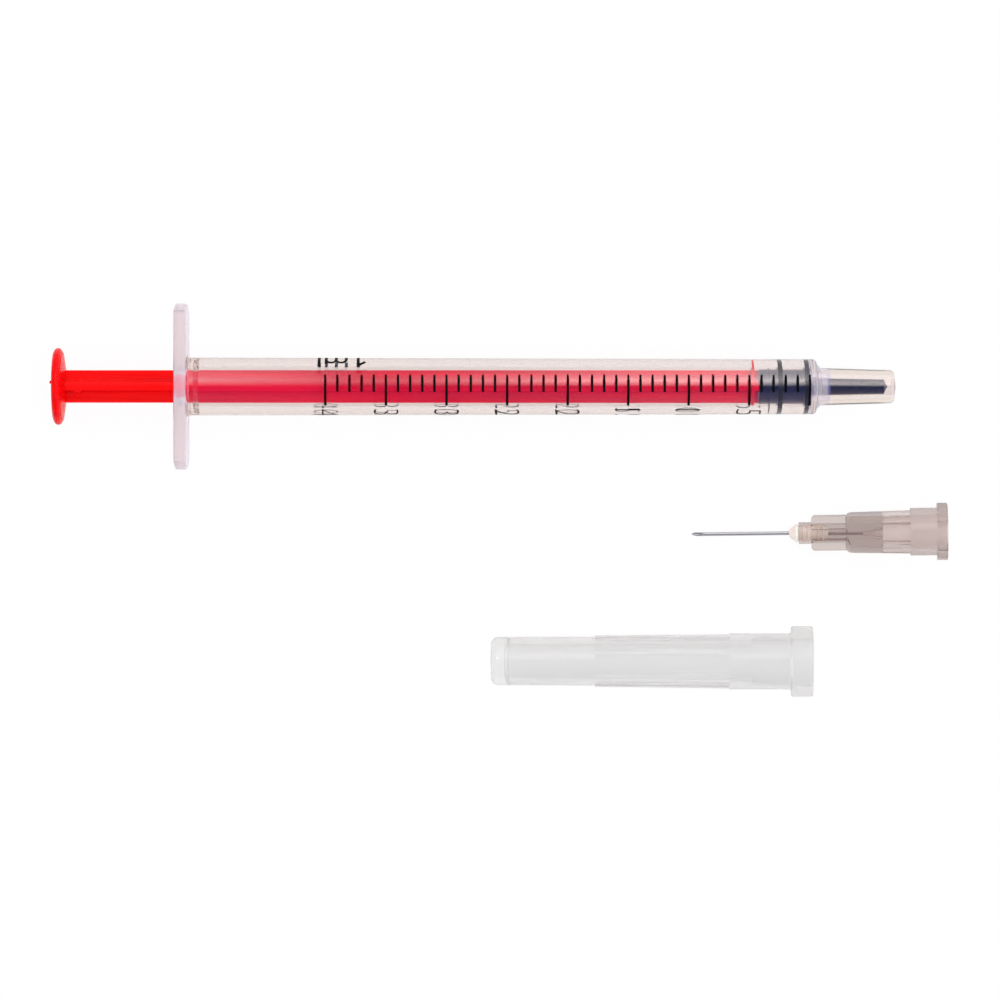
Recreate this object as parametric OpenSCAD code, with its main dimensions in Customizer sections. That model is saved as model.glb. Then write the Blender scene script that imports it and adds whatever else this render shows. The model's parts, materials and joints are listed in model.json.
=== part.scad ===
// Insulin syringe of one millilitre, with its detachable needle and its needle cap beside it.
// Lengths are millimetres. Each item is drawn about its own axis, which runs along X, and is
// then laid on the table at Z = 0, where it leans on its own widest rim and on its far edge.

/* [Barrel] */
// Inside diameter of the bore
bore_d = 4.71; // [4.5:0.01:5.2]
// Outside diameter of the barrel at the finger flange
barrel_rear_d = 6.9; // [6.6:0.1:8]
// Outside diameter of the barrel at its front end
barrel_front_d = 6.58; // [6.3:0.02:7.6]
// Length from the rear face of the finger flange to the front corner of the barrel
barrel_len = 76.3; // [60:0.1:100]
// Thickness of the front wall at the edge of the bore
front_wall = 0.85; // [0.6:0.05:1.5]
// Rise of the front face from its corner to the nozzle
front_rise = 0.5; // [0.2:0.05:1]
// Rounding of the front corner
front_round = 0.5; // [0.2:0.05:0.7]

/* [Finger flange] */
// Span of the two wings, tip to tip
flange_span = 19.8; // [16:0.1:26]
// Height of the flange across its two flats
flange_height = 8.6; // [7.6:0.1:9]
// Thickness of the flange
flange_t = 1.45; // [0.9:0.05:1.6]
// Rounding of the edges of the flange
flange_round = 0.3; // [0.1:0.05:0.4]
// Fillet between the flange and the barrel
flange_fillet = 0.35; // [0.1:0.05:0.6]

/* [Rear opening of the bore] */
// Diameter of the opening in the rear face
mouth_d = 5.2; // [4.9:0.05:6]
// Inside diameter of the bead that keeps the plunger in
bead_d = 4.24; // [4.1:0.02:4.4]
// Distance from the rear face to the narrow land of the bead
bead_at = 1.7; // [1:0.05:2.5]
// Length of the narrow land of the bead
bead_land = 0.5; // [0.2:0.05:1]
// Length of the slope from the land out to the bore
bead_ramp = 0.65; // [0.3:0.05:1.2]

/* [Nozzle] */
// Outside diameter at the tip of the nozzle
nozzle_tip_d = 3.95; // [3.9:0.01:4]
// Length of the nozzle from its root to its tip
nozzle_len = 8.8; // [8:0.1:11]
// Growth of the diameter for each unit of length on the Luer taper
luer_taper_share = 0.06; // [0.055:0.001:0.065]
// Rounding of the tip of the nozzle
nozzle_round = 0.6; // [0.2:0.05:0.7]

/* [Stopper] */
// Length of the stopper without its tip
stopper_len = 6; // [5.8:0.05:9]
// Diameter of the stopper between its ribs
stopper_d = 4.1; // [3.7:0.05:4.3]
// Width of a sealing rib
seal_w = 0.68; // [0.4:0.02:1]
// Height of the sloped flanks of a sealing rib along the axis
seal_flank = 0.12; // [0.05:0.01:0.2]
// Gap between a sealing rib and the bore
seal_gap = 0.015; // [0.01:0.005:0.03]
// Distance from the edge of the face to the front sealing rib
front_seal_at = 0; // [0:0.05:0.5]
// Distance from the edge of the face to the rear sealing rib
rear_seal_at = 3.2; // [2.5:0.05:3.6]
// Distance from the edge of the face to the thin wiping lip
wiper_at = 4.75; // [4.6:0.05:5.3]
// Width of the wiping lip
wiper_w = 0.16; // [0.1:0.02:0.3]
// Gap between the wiping lip and the bore
wiper_gap = 0.1; // [0.05:0.01:0.15]
// Rise of the conical face of the stopper
face_rise = 0.25; // [0.1:0.05:0.5]
// Length of the tip that fills the nozzle
tip_len = 9.05; // [7.6:0.05:9.1]
// Diameter of the tip at its root
tip_root_d = 2.08; // [1.9:0.02:2.2]
// Diameter of the tip at its end
tip_end_d = 1.74; // [1.5:0.02:1.86]
// Height of the blunt point of the tip
tip_point = 0.4; // [0.2:0.05:0.8]
// Gap between the tip and the wall of the nozzle
nozzle_clear = 0.12; // [0.06:0.02:0.16]
// Gap between the stopper and the end of the bore when the plunger is pressed home
rest_gap = 0.05; // [0.02:0.01:0.1]

/* [Plunger rod] */
// Diameter of the thumb disc
disc_d = 9.15; // [8.9:0.05:11]
// Thickness of the rim of the thumb disc
disc_rim_t = 0.95; // [0.6:0.05:1.5]
// Height of the domed face of the thumb disc
disc_dome = 0.22; // [0.1:0.02:0.5]
// Height of the sloped back of the thumb disc
disc_back = 0.42; // [0.2:0.02:1]
// Bare length of the rod behind the flange when the plunger is pressed home
bare_len = 13; // [8:0.05:20]
// Width of the rod across two ribs
rod_d = 3.9; // [3.4:0.05:4]
// Thickness of a rib of the rod
rod_rib_t = 1.05; // [0.7:0.05:1.4]
// Fillet in the four grooves of the rod
rod_fillet = 0.35; // [0.1:0.05:0.6]
// Gap between the guide disc and the bore
guide_clear = 0.08; // [0.05:0.01:0.12]
// Thickness of the guide disc
guide_t = 0.3; // [0.2:0.05:0.6]
// Distance from the front end of the rod to the guide disc
guide_back = 0.55; // [0.3:0.05:1.5]
// Gap between the guide disc and the bead when the plunger is pulled right out
stop_gap = 0.03; // [0.01:0.01:0.1]

/* [Snap joint of rod and stopper] */
// Diameter of the neck of the snap head
snap_neck_d = 1.3; // [1:0.05:1.5]
// Length of the neck of the snap head
snap_neck_len = 1.2; // [0.8:0.05:1.6]
// Diameter of the snap head
snap_head_d = 2.2; // [1.9:0.05:2.4]
// Length of the straight part of the snap head
snap_head_len = 0.8; // [0.5:0.05:1.2]
// Length of the sloped nose of the snap head
snap_nose_len = 0.7; // [0.4:0.05:1]
// Gap all round the snap head in the stopper, so that the rod can turn
snap_clear = 0.06; // [0.03:0.01:0.1]

/* [Marks of moulding on the rod] */
// Diameter of the ejector pad next to the thumb disc
pad_d = 1.5; // [1.2:0.05:2]
// Distance from the thumb disc to the middle of the ejector pad
pad_at = 1.5; // [1:0.05:3]
// Depth of the ejector pad below the edge of the rib
pad_sink = 0.1; // [0.04:0.02:0.2]
// Diameter of the gate nub on the thumb disc
gate_d = 0.6; // [0.3:0.05:1]
// Height of the gate nub
gate_h = 0.35; // [0.1:0.05:0.6]
// Distance of the gate nub from the axis
gate_off = 0.5; // [0:0.1:1.5]

/* [Needle tube] */
// Outside diameter of the needle tube
cannula_od = 0.46; // [0.3:0.01:0.6]
// Inside diameter of the needle tube
cannula_id = 0.26; // [0.14:0.01:0.28]
// Length of the needle tube in front of the hub
cannula_out = 12.9; // [8:0.1:16]
// Length of the needle tube inside the hub
cannula_in = 7.6; // [6:0.05:7.8]
// Length of the main bevel
bevel_len = 1.7; // [1.2:0.05:2.2]
// Length of the two side facets that sharpen the point
lancet_len = 0.8; // [0.4:0.05:1.1]
// Angle by which the side facets turn away from the main bevel
lancet_turn = 38; // [20:1:50]

/* [Needle hub] */
// Length of the hub
hub_len = 17.7; // [17:0.1:20]
// Diameter of the nose of the hub
nose_d = 2.62; // [2.3:0.02:3]
// Length of the bare nose in front of the fins
nose_len = 1.5; // [0.8:0.05:2]
// Span across two fins
fin_span = 4.1; // [3.6:0.05:4.4]
// Thickness of a fin
fin_t = 1.4; // [0.6:0.05:1.6]
// Rounding of the front corners of the fins
fin_round = 0.5; // [0.2:0.05:0.6]
// Distance from the nose to the body of the hub
body_at = 5.6; // [5:0.05:6.2]
// Diameter of the body at its front, over its rounded corners
body_front_d = 5.24; // [5:0.02:5.4]
// Rounding of the front corner of the body
body_round = 1; // [0.5:0.05:1.2]
// Width of the body across its flats, at its front
body_across = 4.44; // [4.4:0.02:4.7]
// Width of the body across its flats, at the collar
body_rear_across = 4.7; // [4.6:0.02:4.9]
// Diameter of the collar
collar_d = 5.7; // [5.5:0.02:6]
// Length of the collar
collar_len = 3.15; // [2.5:0.05:4]
// Span of the two lugs at the mouth
lug_span = 6.84; // [6.2:0.02:7.8]
// Thickness of the lugs
lug_t = 1.25; // [0.8:0.05:1.6]
// Edge break of the lugs
lug_round = 0.12; // [0.05:0.01:0.2]

/* [Bores of the hub] */
// Diameter of the Luer socket at its mouth
socket_d = 4.28; // [4.27:0.005:4.315]
// Depth of the Luer socket
socket_depth = 7.7; // [7.5:0.05:9]
// Diameter of the funnel at the bottom of the socket
funnel_d = 1.6; // [1:0.05:2.4]
// Diameter of the adhesive well in the nose
well_d = 1.1; // [0.9:0.05:1.3]
// Depth of the adhesive well
well_depth = 3.5; // [2.8:0.05:4]
// Number of keying rings in the adhesive well
ring_count = 5; // [3:1:6]
// Radius of a keying ring
ring_r = 0.13; // [0.08:0.01:0.2]
// Length of the adhesive cone in front of the nose
glue_len = 1.14; // [0.8:0.02:1.6]
// Rounding of the adhesive cone at the nose
glue_round = 0.22; // [0.1:0.02:0.4]
// Gap between glued pieces
bond_gap = 0.01; // [0.005:0.005:0.02]

/* [Needle cap] */
// Length of the cap
cap_len = 38.3; // [36:0.1:48]
// Outside diameter at the closed end
cap_end_d = 5.75; // [5.4:0.05:5.9]
// Rounding of the closed end
cap_round = 0.85; // [0.4:0.05:1.2]
// Distance from the closed end to the grip
grip_at = 12.4; // [8:0.1:14]
// Outside diameter just in front of the grip
cap_mid_d = 5.86; // [5.6:0.02:6]
// Length of the grip with its flats
grip_len = 16; // [12:0.1:17]
// Diameter of the grip over its corners, at its front
grip_front_d = 6.4; // [6.2:0.02:6.6]
// Width of the grip across its flats, at its front
grip_front_across = 6.08; // [5.9:0.02:6.2]
// Width of the grip across its flats, at its rear
grip_rear_across = 6.4; // [6.2:0.02:6.6]
// Number of flats on the grip
grip_flats = 8; // [6:1:10]
// Outside diameter of the cap between the grip and its flange
cap_d = 6.68; // [6.6:0.02:7.2]
// Diameter of the flange at the mouth of the cap
cap_flange_d = 8.4; // [7.8:0.05:9.2]
// Thickness of the flange of the cap
cap_flange_t = 2.6; // [1.5:0.05:3.2]
// Rounding of the edges of the flange of the cap
cap_flange_round = 0.25; // [0.1:0.05:0.4]

/* [Inside of the cap] */
// Thickness of the closed end of the cap
cap_end_wall = 1.6; // [1:0.05:2.5]
// Diameter of the cavity at the closed end
cavity_d = 4.1; // [3.6:0.05:4.3]
// Gap between the fins of the hub and the cavity
fin_clear = 0.12; // [0.08:0.01:0.2]
// Gap between the body of the hub and the seat of the cap
seat_clear = 0.06; // [0.03:0.01:0.1]
// Distance kept between the mouth of the cap and the collar of the hub
seat_off = 0.4; // [0.2:0.05:0.8]
// Width of a grip rib inside the seat
seat_rib_w = 0.9; // [0.5:0.05:1.3]
// Gap between the grip ribs and the flats of the hub
seat_rib_gap = 0.05; // [0.02:0.01:0.1]
// Distance from the mouth of the cap to the grip ribs
seat_rib_at = 3.1; // [2:0.1:4]

/* [Layout on the table] */
// Length of the whole set, from the thumb disc to the mouth of the hub
set_len = 107.1; // [104:0.1:125]
// Width of the whole set, from the finger flange to the cap
set_width = 46.8; // [42:0.1:60]
// Distance from the axis of the syringe to the nose of the hub
needle_drop = 17.45; // [14:0.05:24]
// Angle of the needle on the table
needle_turn = 0.7; // [-3:0.1:3]
// Angle by which the hub lies rolled about its own axis
needle_roll = 9; // [0:1:20]
// Distance from the mouth of the hub back to the mouth of the cap
cap_back = 16.3; // [10:0.1:30]

/* [Hidden] */
$fn = 96;
fin_count = 4;
// Overrun of every cut past the face that it opens
over = 0.2;

// Stations along the axis of the syringe, from the rear face of the finger flange
bead_end = bead_at + bead_land + bead_ramp;
bore_end = barrel_len - front_wall;
nozzle_root = barrel_len + front_rise;
nozzle_tip = nozzle_root + nozzle_len;
face_at = bore_end - rest_gap;
stopper_rear = face_at - stopper_len;
tip_end = face_at + face_rise + tip_len;
rod_end = stopper_rear - snap_clear;
guide_rear = rod_end - guide_back - guide_t;
disc_root = -bare_len;
disc_face = disc_root - disc_back - disc_rim_t - disc_dome;
// Way that the plunger travels until its guide disc meets the bead
plunger_travel = guide_rear - bead_end - stop_gap;

// Radii and taper of the nozzle and of its passage
taper_slope = luer_taper_share / 2;
nozzle_root_d = nozzle_tip_d + luer_taper_share * nozzle_len;
tip_slope = (tip_root_d - tip_end_d) / 2 / (tip_len - tip_point);
passage_r = tip_root_d / 2 + nozzle_clear;

// Stations along the axis of the hub, from its nose
lug_at = hub_len - lug_t;
collar_at = lug_at - collar_len;
socket_end = hub_len - socket_depth;
socket_end_d = socket_d - luer_taper_share * socket_depth;
ring_pitch = well_depth / (ring_count + 1);
flat_draft = atan((body_rear_across - body_across) / 2 / (collar_at - body_at));

// Stations along the axis of the cap, from its closed end
grip_end = grip_at + grip_len;
cap_flange_at = cap_len - cap_flange_t;
seat_len = collar_at - body_at - seat_off;
seat_end = cap_len - seat_len;
seat_end_r = body_front_d / 2 + seat_clear;
seat_mouth_r = collar_d / 2 + seat_clear;
seat_rib_r = body_across / 2 + seat_rib_gap;

// Rims on which the items lie, each as its station and its radius
disc_rim = [disc_root - disc_back - disc_rim_t / 2, disc_d / 2];
flange_rim = [flange_t / 2, flange_height / 2];
front_rim = [barrel_len - front_round, barrel_front_d / 2];
fin_low = fin_span / 2 * cos(needle_roll) + fin_t / 2 * sin(needle_roll);
fin_rim = [nose_len + fin_round, fin_low];
body_corner = acos(body_across / body_front_d) - needle_roll;
body_rim = [body_at + body_round, body_front_d / 2 * cos(max(body_corner, 0))];
lug_corner = acos(collar_d / lug_span) - needle_roll;
lug_rim = [lug_at + lug_round, lug_span / 2 * cos(max(lug_corner, 0))];
end_rim = [cap_round, cap_end_d / 2];
mouth_rim = [cap_flange_at + cap_flange_round, cap_flange_d / 2];

// Angle at which an axis leans on two rims, and its height above the table at its station zero
function lean(a, b) = atan2(a[1] - b[1], b[0] - a[0]);
function height(a, b) = a[0] * sin(lean(a, b)) + a[1] * cos(lean(a, b));

// The syringe lies on its thumb disc or on its flange, whichever reaches lower
heel_rim = lean(disc_rim, front_rim) > lean(flange_rim, front_rim) ? disc_rim : flange_rim;
syringe_lean = lean(heel_rim, front_rim);
// The needle lies on its fins or on the body of its hub in the same way
nose_rim = lean(fin_rim, lug_rim) > lean(body_rim, lug_rim) ? fin_rim : body_rim;
needle_lean = lean(nose_rim, lug_rim);
syringe_x = -set_len / 2 - (disc_face - gate_h) * cos(syringe_lean);
syringe_y = (set_width - flange_span) / 2;
needle_x = set_len / 2 - hub_len * cos(needle_lean) + lug_rim[1] * sin(needle_lean);
needle_y = syringe_y - needle_drop;
cap_x = set_len / 2 - cap_back - cap_len;
cap_y = (cap_flange_d - set_width) / 2;

module lie(a, b, x, y, turn = 0, roll = 0) {
    translate([x, y, height(a, b)]) rotate([0, 0, turn]) rotate([0, lean(a, b), 0]) rotate([roll, 0, 0]) children();
}

module lie_syringe() {
    lie(heel_rim, front_rim, syringe_x, syringe_y) children();
}

module lie_needle() {
    lie(nose_rim, lug_rim, needle_x, needle_y, needle_turn, needle_roll) children();
}

module lie_cap() {
    lie(end_rim, mouth_rim, cap_x, cap_y) children();
}

// Turns a profile about the X axis. Its points are [radius, station].
module turned() {
    rotate([0, 90, 0]) rotate_extrude() children();
}

// Profile of a straight or tapered stretch from one station and radius to another
module stretch(x1, r1, x2, r2) {
    polygon([[0, x1], [r1, x1], [r2, x2], [0, x2]]);
}

// Cuts the corner at a station off to an arc. The flank behind it widens by slope, and way is 1
// where the profile ends at the station and -1 where it begins there.
module corner(r, x, e, way = 1, slope = 0) {
    b = atan(slope);
    mid_r = r + e * slope - e / cos(b);
    translate([0, x]) mirror([0, way > 0 ? 0 : 1]) difference() {
        polygon([
            [mid_r, -e],
            [mid_r + e * cos(b), -e + e * sin(b)],
            [mid_r + e * cos(b) + over, -e + e * sin(b)],
            [r + over, over],
            [mid_r, over]
        ]);
        translate([mid_r, -e]) circle(e);
    }
}

// Fillet profile in the inner corner of a shaft of radius r and a face at x
module fillet(r, x, e, way = 1) {
    translate([r, x]) mirror([0, way > 0 ? 0 : 1]) difference() {
        translate([-over, -over]) square(e + over);
        translate([e, e]) circle(e);
    }
}

// Rectangle with rounded corners, w along X and h along Y
module rounded_bar(w, h, e) {
    square([w, h - 2 * e], center = true);
    square([w - 2 * e, h], center = true);
    for (sx = [-1, 1], sy = [-1, 1]) translate([sx * (w / 2 - e), sy * (h / 2 - e)]) circle(e);
}

// Disc with rounded edges, cut to two flats with the same edges
module finger_flange() {
    intersection() {
        turned() difference() {
            stretch(0, flange_span / 2, flange_t, flange_span / 2);
            corner(flange_span / 2, flange_t, flange_round);
            corner(flange_span / 2, 0, flange_round, -1);
        }
        translate([flange_t / 2, 0, 0]) rotate([90, 0, 0])
            linear_extrude(flange_span + over, center = true) rounded_bar(flange_t, flange_height, flange_round);
    }
}

module barrel_shell() {
    slope = (barrel_rear_d - barrel_front_d) / 2 / barrel_len;
    difference() {
        union() {
            stretch(flange_t / 2, barrel_rear_d / 2 - slope * flange_t / 2, barrel_len, barrel_front_d / 2);
            fillet(barrel_rear_d / 2 - slope * flange_t, flange_t, flange_fillet);
        }
        corner(barrel_front_d / 2, barrel_len, front_round, 1, slope);
    }
    polygon([
        [0, barrel_len - front_wall],
        [barrel_front_d / 2 - front_round, barrel_len - front_wall],
        [barrel_front_d / 2 - front_round, barrel_len],
        [nozzle_root_d / 2, nozzle_root],
        [0, nozzle_root]
    ]);
    difference() {
        stretch(barrel_len, nozzle_root_d / 2 + taper_slope * front_rise, nozzle_tip, nozzle_tip_d / 2);
        corner(nozzle_tip_d / 2, nozzle_tip, nozzle_round, 1, taper_slope);
    }
}

// Bore with its retaining bead, its conical end and the passage through the nozzle
module barrel_bore() {
    polygon([
        [0, -over],
        [mouth_d / 2 + (mouth_d - bead_d) / 2 / bead_at * over, -over],
        [bead_d / 2, bead_at],
        [bead_d / 2, bead_at + bead_land],
        [bore_d / 2, bead_end],
        [bore_d / 2, bore_end],
        [passage_r, bore_end + face_rise],
        [passage_r - tip_slope * (nozzle_tip + over - bore_end - face_rise), nozzle_tip + over],
        [0, nozzle_tip + over]
    ]);
}

module barrel() {
    color([0.91, 0.86, 0.84, 0.6]) lie_syringe() difference() {
        union() {
            finger_flange();
            turned() barrel_shell();
        }
        turned() barrel_bore();
    }
}

// Cross of two plates with filleted grooves and rounded outer edges
module rod_section() {
    intersection() {
        circle(d = rod_d);
        union() {
            square([rod_d, rod_rib_t], center = true);
            square([rod_rib_t, rod_d], center = true);
            for (sx = [0, 1], sy = [0, 1]) mirror([sx, 0]) mirror([0, sy])
                fillet(rod_rib_t / 2, rod_rib_t / 2, rod_fillet);
        }
    }
}

module thumb_disc() {
    dome_r = (pow(disc_d / 2, 2) + pow(disc_dome, 2)) / 2 / disc_dome;
    rim_at = disc_face + disc_dome;
    turned() difference() {
        intersection() {
            polygon([
                [0, disc_face - over],
                [disc_d / 2, disc_face - over],
                [disc_d / 2, rim_at + disc_rim_t],
                [rod_d / 2, disc_root],
                [0, disc_root]
            ]);
            translate([0, disc_face + dome_r]) circle(dome_r, $fn = 360);
        }
        corner(disc_d / 2, rim_at, disc_rim_t / 2, -1);
        corner(disc_d / 2, rim_at + disc_rim_t, disc_rim_t / 2);
    }
    translate([disc_face + disc_dome / 2, gate_off, 0]) rotate([0, -90, 0])
        cylinder(gate_h + disc_dome / 2, gate_d / 2, gate_d / 4);
}

// Mushroom head that snaps into the stopper, grown by a gap for its pocket
module snap_profile(gap) {
    neck_end = rod_end + snap_neck_len;
    head_end = neck_end + snap_head_len;
    stretch(rod_end - over, snap_neck_d / 2 + gap, neck_end, snap_neck_d / 2 + gap);
    polygon([
        [0, neck_end - gap],
        [snap_head_d / 2 + gap, neck_end - gap],
        [snap_head_d / 2 + gap, head_end],
        [snap_neck_d / 2 + gap, head_end + snap_nose_len],
        [snap_neck_d / 2, head_end + snap_nose_len + gap],
        [0, head_end + snap_nose_len + gap]
    ]);
}

module plunger_rod() {
    color([0.9, 0.02, 0.04]) lie_syringe() {
        thumb_disc();
        translate([disc_root - disc_back, 0, 0]) rotate([0, 90, 0])
            linear_extrude(rod_end - disc_root + disc_back) rod_section();
        translate([disc_root + pad_at, 0, 0]) cylinder(rod_d - 2 * pad_sink, d = pad_d, center = true);
        turned() translate([0, guide_rear]) square([bore_d / 2 - guide_clear, guide_t]);
        turned() snap_profile(0);
    }
}

// Ring of a given width whose land reaches the bore
module seal_ring(at, w, gap, flank) {
    land_r = bore_d / 2 - gap;
    x = face_at - at;
    polygon([[0, x - w], [stopper_d / 2, x - w], [land_r, x - w + flank], [land_r, x - flank],
        [stopper_d / 2, x], [0, x]]);
}

module stopper() {
    color([0.15, 0.2, 0.27]) lie_syringe() turned() difference() {
        union() {
            stretch(stopper_rear, stopper_d / 2, face_at, stopper_d / 2);
            stretch(face_at, stopper_d / 2, face_at + face_rise, tip_root_d / 2);
            stretch(face_at, tip_root_d / 2 + tip_slope * face_rise, tip_end - tip_point, tip_end_d / 2);
            stretch(tip_end - tip_point, tip_end_d / 2, tip_end, tip_point / 4);
            seal_ring(front_seal_at, seal_w, seal_gap, seal_flank);
            seal_ring(rear_seal_at, seal_w, seal_gap, seal_flank);
            seal_ring(wiper_at, wiper_w, wiper_gap, wiper_w / 3);
        }
        snap_profile(snap_clear);
    }
}

// Block that takes off everything above a plane through the point, facing up and back
module facet_cut(len, turn) {
    size = cannula_od * 4;
    rotate([turn, 0, 0]) translate([-cannula_out, 0, -cannula_od / 2]) rotate([0, -atan(cannula_od / len), 0])
        translate([-size, -size, 0]) cube([size + len * 2, size * 2, size]);
}

module needle_cannula() {
    color([0.7, 0.71, 0.73]) lie_needle() difference() {
        translate([-cannula_out, 0, 0]) rotate([0, 90, 0]) cylinder(cannula_out + cannula_in, d = cannula_od);
        translate([-cannula_out - over, 0, 0]) rotate([0, 90, 0])
            cylinder(cannula_out + cannula_in + over * 2, d = cannula_id);
        facet_cut(bevel_len, 0);
        for (side = [-1, 1]) facet_cut(lancet_len, side * lancet_turn);
    }
}

// Well in the nose with its keying rings, shrunk by a gap for the adhesive that fills it
module well_profile(gap) {
    difference() {
        union() {
            stretch(0, well_d / 2 - gap, well_depth - gap, well_d / 2 - gap);
            for (i = [1:ring_count]) translate([well_d / 2, ring_pitch * i]) circle(ring_r - gap, $fn = 32);
        }
        translate([-well_d, -over]) square([well_d, well_depth + over]);
    }
}

module needle_adhesive() {
    color([0.93, 0.9, 0.85]) lie_needle() turned() difference() {
        union() {
            well_profile(bond_gap);
            difference() {
                polygon([[0, -glue_len], [cannula_od, -glue_len], [nose_d / 2, -bond_gap], [0, -bond_gap]]);
                corner(nose_d / 2, -bond_gap, glue_round, 1, -(nose_d / 2 - cannula_od) / (glue_len - bond_gap));
            }
            translate([0, -bond_gap]) square([well_d / 2 - bond_gap, bond_gap * 2]);
        }
        translate([0, -glue_len - over]) square([cannula_od / 2 + bond_gap, glue_len + well_depth + over * 2]);
    }
}

// Four fins that run from the bare nose into the body
module hub_fins() {
    fin_len = body_at + body_round - nose_len;
    for (i = [0:fin_count / 2 - 1]) rotate([i * 360 / fin_count, 0, 0])
        translate([nose_len + fin_len / 2, 0, 0]) rotate([90, 0, 0])
            linear_extrude(fin_t, center = true) difference() {
                square([fin_len, fin_span], center = true);
                for (side = [0, 1]) mirror([0, side]) translate([-fin_len / 2, fin_span / 2])
                    mirror([1, 0]) corner(0, 0, fin_round);
            }
}

module hub_body() {
    slope = (body_front_d - collar_d) / 2 / (collar_at - body_at);
    difference() {
        turned() difference() {
            stretch(body_at, body_front_d / 2, collar_at, collar_d / 2);
            corner(body_front_d / 2, body_at, body_round, -1, -slope);
        }
        for (i = [0:fin_count - 1]) rotate([i * 360 / fin_count, 0, 0])
            translate([body_at, -collar_d / 2, body_across / 2]) rotate([0, -flat_draft, 0])
                translate([-over, 0, 0]) cube([collar_at - body_at + over, collar_d, collar_d]);
    }
}

// Collar with two lugs, whose flats run flush with it
module hub_collar() {
    turned() stretch(collar_at, collar_d / 2, hub_len, collar_d / 2);
    intersection() {
        turned() difference() {
            stretch(lug_at, lug_span / 2, hub_len, lug_span / 2);
            corner(lug_span / 2, lug_at, lug_round, -1);
            corner(lug_span / 2, hub_len, lug_round);
        }
        translate([lug_at - over, -lug_span / 2, -collar_d / 2]) cube([lug_t + over * 2, lug_span, collar_d]);
    }
}

// Adhesive well, needle passage, funnel and Luer socket
module hub_bores() {
    well_profile(0);
    stretch(-over, well_d / 2, 0, well_d / 2);
    stretch(0, cannula_od / 2 + bond_gap, cannula_in, cannula_od / 2 + bond_gap);
    stretch(cannula_in, cannula_od / 2 + bond_gap, socket_end, funnel_d / 2);
    stretch(socket_end, socket_end_d / 2, hub_len + over, socket_d / 2 + taper_slope * over);
}

module needle_hub() {
    color([0.72, 0.6, 0.56, 0.8]) lie_needle() difference() {
        union() {
            turned() stretch(0, nose_d / 2, body_at + body_round, nose_d / 2);
            hub_fins();
            hub_body();
            hub_collar();
        }
        turned() hub_bores();
    }
}

// Flats with draft all round the grip of the cap
module grip_cuts() {
    draft = atan((grip_rear_across - grip_front_across) / 2 / grip_len);
    for (i = [0:grip_flats - 1]) rotate([i * 360 / grip_flats, 0, 0])
        translate([grip_at, -cap_d / 2, grip_front_across / 2]) rotate([0, -draft, 0])
            cube([grip_len, cap_d, cap_d]);
}

module cap_outside() {
    mid_slope = (cap_mid_d - cap_end_d) / 2 / grip_at;
    turned() difference() {
        stretch(0, cap_end_d / 2, grip_at, cap_mid_d / 2);
        corner(cap_end_d / 2, 0, cap_round, -1, mid_slope);
    }
    difference() {
        turned() stretch(grip_at, grip_front_d / 2, grip_end, cap_d / 2);
        grip_cuts();
    }
    turned() stretch(grip_end, cap_d / 2, cap_len, cap_d / 2);
    turned() fillet(cap_d / 2, cap_flange_at, cap_flange_round, -1);
    turned() difference() {
        stretch(cap_flange_at, cap_flange_d / 2, cap_len, cap_flange_d / 2);
        corner(cap_flange_d / 2, cap_flange_at, cap_flange_round, -1);
        corner(cap_flange_d / 2, cap_len, cap_flange_round);
    }
}

// Cavity for the needle and the fins, with a rounded end
module cap_cavity() {
    cavity_slope = (fin_span / 2 + fin_clear - cavity_d / 2) / (seat_end - cap_end_wall);
    turned() difference() {
        stretch(cap_end_wall, cavity_d / 2, seat_end + over, fin_span / 2 + fin_clear + cavity_slope * over);
        corner(cavity_d / 2, cap_end_wall, cap_round, -1, cavity_slope);
    }
}

// Seat for the body of the hub, with a rib for each of its flats
module cap_seat() {
    difference() {
        turned() stretch(seat_end, seat_end_r, cap_len + over, seat_mouth_r);
        for (i = [0:fin_count - 1]) rotate([i * 360 / fin_count, 0, 0])
            translate([seat_end, -seat_rib_w / 2, seat_rib_r]) rotate([0, -flat_draft, 0])
                translate([-over, 0, 0]) cube([seat_len - seat_rib_at + over, seat_rib_w, cap_d]);
    }
}

module needle_cap() {
    color([0.93, 0.93, 0.93, 0.7]) lie_cap() difference() {
        cap_outside();
        cap_cavity();
        cap_seat();
    }
}

barrel();
plunger_rod();
stopper();
needle_hub();
needle_cannula();
needle_adhesive();
needle_cap();
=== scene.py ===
"""Looks of an insulin syringe, its loose needle and its needle cap, laid out on a white table.

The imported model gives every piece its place. This script dresses those pieces, prints the
scale on the barrel, presses the rubber against the bore, and sets the table, the light and
the camera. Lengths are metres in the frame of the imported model, and sizes of small features
are written in millimetres and turned to metres by MM.
"""
import json
import logging
import math
from abc import ABC, abstractmethod
from dataclasses import dataclass, field
from enum import Enum

import bmesh
import bpy
from mathutils import Matrix, Vector

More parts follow.
